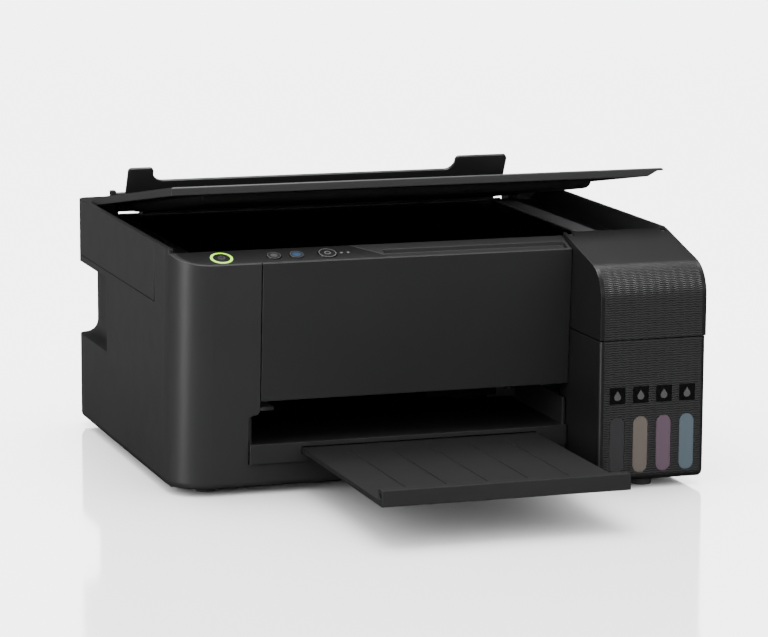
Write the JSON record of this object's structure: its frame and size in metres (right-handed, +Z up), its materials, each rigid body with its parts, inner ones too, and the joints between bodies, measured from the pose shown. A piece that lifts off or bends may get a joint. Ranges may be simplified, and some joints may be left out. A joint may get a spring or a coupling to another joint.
{
  "type": "inkjet printer",
  "caption": "All-in-one inkjet printer with flatbed scanner, sloped control panel, rear paper feed, sliding output tray and refillable ink tanks in a hinged unit",
  "frame": {"origin": "on the floor, at the middle of the whole footprint with the output tray drawn out", "axes": "+X right seen from the front, +Y to the back, +Z up"},
  "size_m": [0.375, 0.4654, 0.2184],
  "materials": {
    "charcoal_case": "fine matte charcoal moulding",
    "charcoal_trim": "satin charcoal moulding",
    "textured_cover": "charcoal moulding with embossed waves",
    "inner_black": "plain black moulding",
    "gloss_black": "gloss black",
    "glass": "clear glass over a dark inside",
    "white_plastic": "white moulding",
    "grey_plastic": "grey moulding",
    "button_grey": "satin grey key",
    "button_blue": "satin blue key",
    "green_light": "lit lime green",
    "pad_foam": "white foam backed sheet",
    "rubber": "soft black rubber",
    "steel": "plated steel",
    "roller_rubber": "grey roller rubber",
    "felt": "absorbent felt",
    "board_green": "circuit board",
    "tank_clear": "translucent tank plastic",
    "window_ink": "ink behind a clear window",
    "label_print": "printed colour squares"
  },
  "bodies": {
    "case": {"base_pan": "inner_black", "capping_station": "inner_black", "carriage_belt": "rubber", "carriage_guide_rod": "steel", "carriage_motor": "steel", "control_panel": "gloss_black", "feed_motor": "steel", "front_panel": "charcoal_trim", "indicator_lights": "green_light", "ink_tanks": "tank_clear", "ink_windows": "window_ink", "main_board": "board_green", "mechanism_frame": "steel", "outer_case": "charcoal_case", "output_tray": "charcoal_trim", "platen": "inner_black", "power_inlet": "inner_black", "power_ring_light": "green_light", "power_supply": "grey_plastic", "rear_cover": "charcoal_case", "rear_feed_frame": "inner_black", "rubber_feet": "rubber", "star_wheel_bar": "inner_black", "tank_case": "charcoal_case", "tank_hinge_bar": "inner_black", "tank_labels": "label_print", "usb_socket": "inner_black", "waste_ink_pad": "felt"},
    "scanner_unit": {"scanner_frame": "charcoal_case", "scanner_glass": "glass", "reference_strip": "white_plastic", "scanner_floor": "inner_black", "scan_guide_rod": "steel", "scan_motor": "steel"},
    "scan_head": {"scan_bar": "inner_black"},
    "lid": {"scanner_lid": "charcoal_trim", "document_pad": "pad_foam"},
    "tank_cover": {"tank_cover": "textured_cover"},
    "carriage": {"carriage": "inner_black", "print_head": "grey_plastic"},
    "feeder_guard": {"feeder_guard": "charcoal_trim"},
    "paper_support": {"paper_support": "charcoal_trim"},
    "edge_guide": {"edge_guide": "inner_black"},
    "tray_extension": {"tray_extension": "charcoal_trim"},
    "tank_cap_black": {"tank_cap_black": "inner_black"},
    "tank_cap_yellow": {"tank_cap_yellow": "inner_black"},
    "tank_cap_magenta": {"tank_cap_magenta": "inner_black"},
    "tank_cap_cyan": {"tank_cap_cyan": "inner_black"},
    "power_button": {"power_button": "button_grey"},
    "mono_copy_button": {"mono_copy_button": "button_grey"},
    "colour_copy_button": {"colour_copy_button": "button_blue"},
    "stop_button": {"stop_button": "button_grey"},
    "feed_roller": {"feed_roller": "roller_rubber"},
    "eject_roller": {"eject_roller": "roller_rubber"},
    "pickup_roller": {"pickup_roller": "roller_rubber"},
    "drive_pulley": {"drive_pulley": "inner_black"},
    "idler_pulley": {"idler_pulley": "inner_black"},
    "feed_pinion": {"feed_pinion": "inner_black"}
  },
  "joints": [
    {"name": "scanner_unit_hinge", "type": "hinge", "parent": "case", "child": "scanner_unit", "pos_m": [0, 0.22775, 0.165], "axis": [1, 0, 0], "range_deg": [-25, 0]},
    {"name": "lid_hinge", "type": "hinge", "parent": "scanner_unit", "child": "lid", "pos_m": [0, 0.20875, 0.172], "axis": [-1, 0, 0], "range_deg": [-9.4, 60]},
    {"name": "scan_slide", "type": "slide", "parent": "scanner_unit", "child": "scan_head", "axis": [1, 0, 0], "range_m": [0, 0.25]},
    {"name": "tank_cover_hinge", "type": "hinge", "parent": "case", "child": "tank_cover", "pos_m": [0.14715, -0.04175, 0.1725], "axis": [-1, 0, 0], "range_deg": [0, 80]},
    {"name": "tank_cap_black_hinge", "type": "hinge", "parent": "case", "child": "tank_cap_black", "pos_m": [0.12045, -0.08075, 0.1027], "axis": [-1, 0, 0], "range_deg": [0, 95]},
    {"name": "tank_cap_yellow_hinge", "type": "hinge", "parent": "case", "child": "tank_cap_yellow", "pos_m": [0.13825, -0.08075, 0.1027], "axis": [-1, 0, 0], "range_deg": [0, 95]},
    {"name": "tank_cap_magenta_hinge", "type": "hinge", "parent": "case", "child": "tank_cap_magenta", "pos_m": [0.15605, -0.08075, 0.1027], "axis": [-1, 0, 0], "range_deg": [0, 95]},
    {"name": "tank_cap_cyan_hinge", "type": "hinge", "parent": "case", "child": "tank_cap_cyan", "pos_m": [0.17385, -0.08075, 0.1027], "axis": [-1, 0, 0], "range_deg": [0, 95]},
    {"name": "power_button_press", "type": "slide", "parent": "case", "child": "power_button", "axis": [0, 0.314, -0.9494], "range_m": [0, 0.0012], "stiffness_N_per_m": 400, "springref_m": -0.0012},
    {"name": "mono_copy_button_press", "type": "slide", "parent": "case", "child": "mono_copy_button", "axis": [0, 0.314, -0.9494], "range_m": [0, 0.0012], "stiffness_N_per_m": 400, "springref_m": -0.0012},
    {"name": "colour_copy_button_press", "type": "slide", "parent": "case", "child": "colour_copy_button", "axis": [0, 0.314, -0.9494], "range_m": [0, 0.0012], "stiffness_N_per_m": 400, "springref_m": -0.0012},
    {"name": "stop_button_press", "type": "slide", "parent": "case", "child": "stop_button", "axis": [0, 0.314, -0.9494], "range_m": [0, 0.0012], "stiffness_N_per_m": 400, "springref_m": -0.0012},
    {"name": "feeder_guard_hinge", "type": "hinge", "parent": "case", "child": "feeder_guard", "pos_m": [0, 0.22375, 0.178], "axis": [1, 0, 0], "range_deg": [-40, 0]},
    {"name": "paper_support_slide", "type": "slide", "parent": "case", "child": "paper_support", "axis": [0, 0.4226, 0.9063], "range_m": [0, 0.085]},
    {"name": "edge_guide_slide", "type": "slide", "parent": "case", "child": "edge_guide", "axis": [1, 0, 0], "range_m": [0, 0.09]},
    {"name": "tray_slide", "type": "slide", "parent": "case", "child": "tray_extension", "axis": [0, -1, 0], "range_m": [-0.165, 0]},
    {"name": "carriage_slide", "type": "slide", "parent": "case", "child": "carriage", "axis": [1, 0, 0], "range_m": [-0.185, 0]},
    {"name": "drive_pulley_turn", "type": "hinge", "parent": "case", "child": "drive_pulley", "pos_m": [-0.1335, 0.12025, 0.118], "axis": [0, 1, 0], "range_deg": [-5, 1715]},
    {"name": "idler_pulley_turn", "type": "hinge", "parent": "case", "child": "idler_pulley", "pos_m": [0.0888, 0.12025, 0.118], "axis": [0, 1, 0], "range_deg": [-5, 1715]},
    {"name": "feed_roller_turn", "type": "hinge", "parent": "case", "child": "feed_roller", "pos_m": [0, 0.10425, 0.058], "axis": [1, 0, 0], "continuous": true},
    {"name": "feed_pinion_turn", "type": "hinge", "parent": "case", "child": "feed_pinion", "pos_m": [-0.153, 0.10425, 0.0365], "axis": [1, 0, 0], "continuous": true},
    {"name": "eject_roller_turn", "type": "hinge", "parent": "case", "child": "eject_roller", "pos_m": [0, 0.05925, 0.054], "axis": [1, 0, 0], "continuous": true},
    {"name": "pickup_roller_turn", "type": "hinge", "parent": "case", "child": "pickup_roller", "pos_m": [0, 0.17959, 0.10467], "axis": [1, 0, 0], "continuous": true}
  ],
  "couplings": [
    {"joint": "drive_pulley_turn", "follows": "carriage_slide", "rad_per_m": -161.29},
    {"joint": "idler_pulley_turn", "follows": "carriage_slide", "rad_per_m": -161.29},
    {"joint": "feed_pinion_turn", "follows": "feed_roller_turn", "ratio": -2.5},
    {"joint": "eject_roller_turn", "follows": "feed_roller_turn", "ratio": 1.4545},
    {"joint": "pickup_roller_turn", "follows": "feed_roller_turn", "ratio": 0.61538}
  ]
}
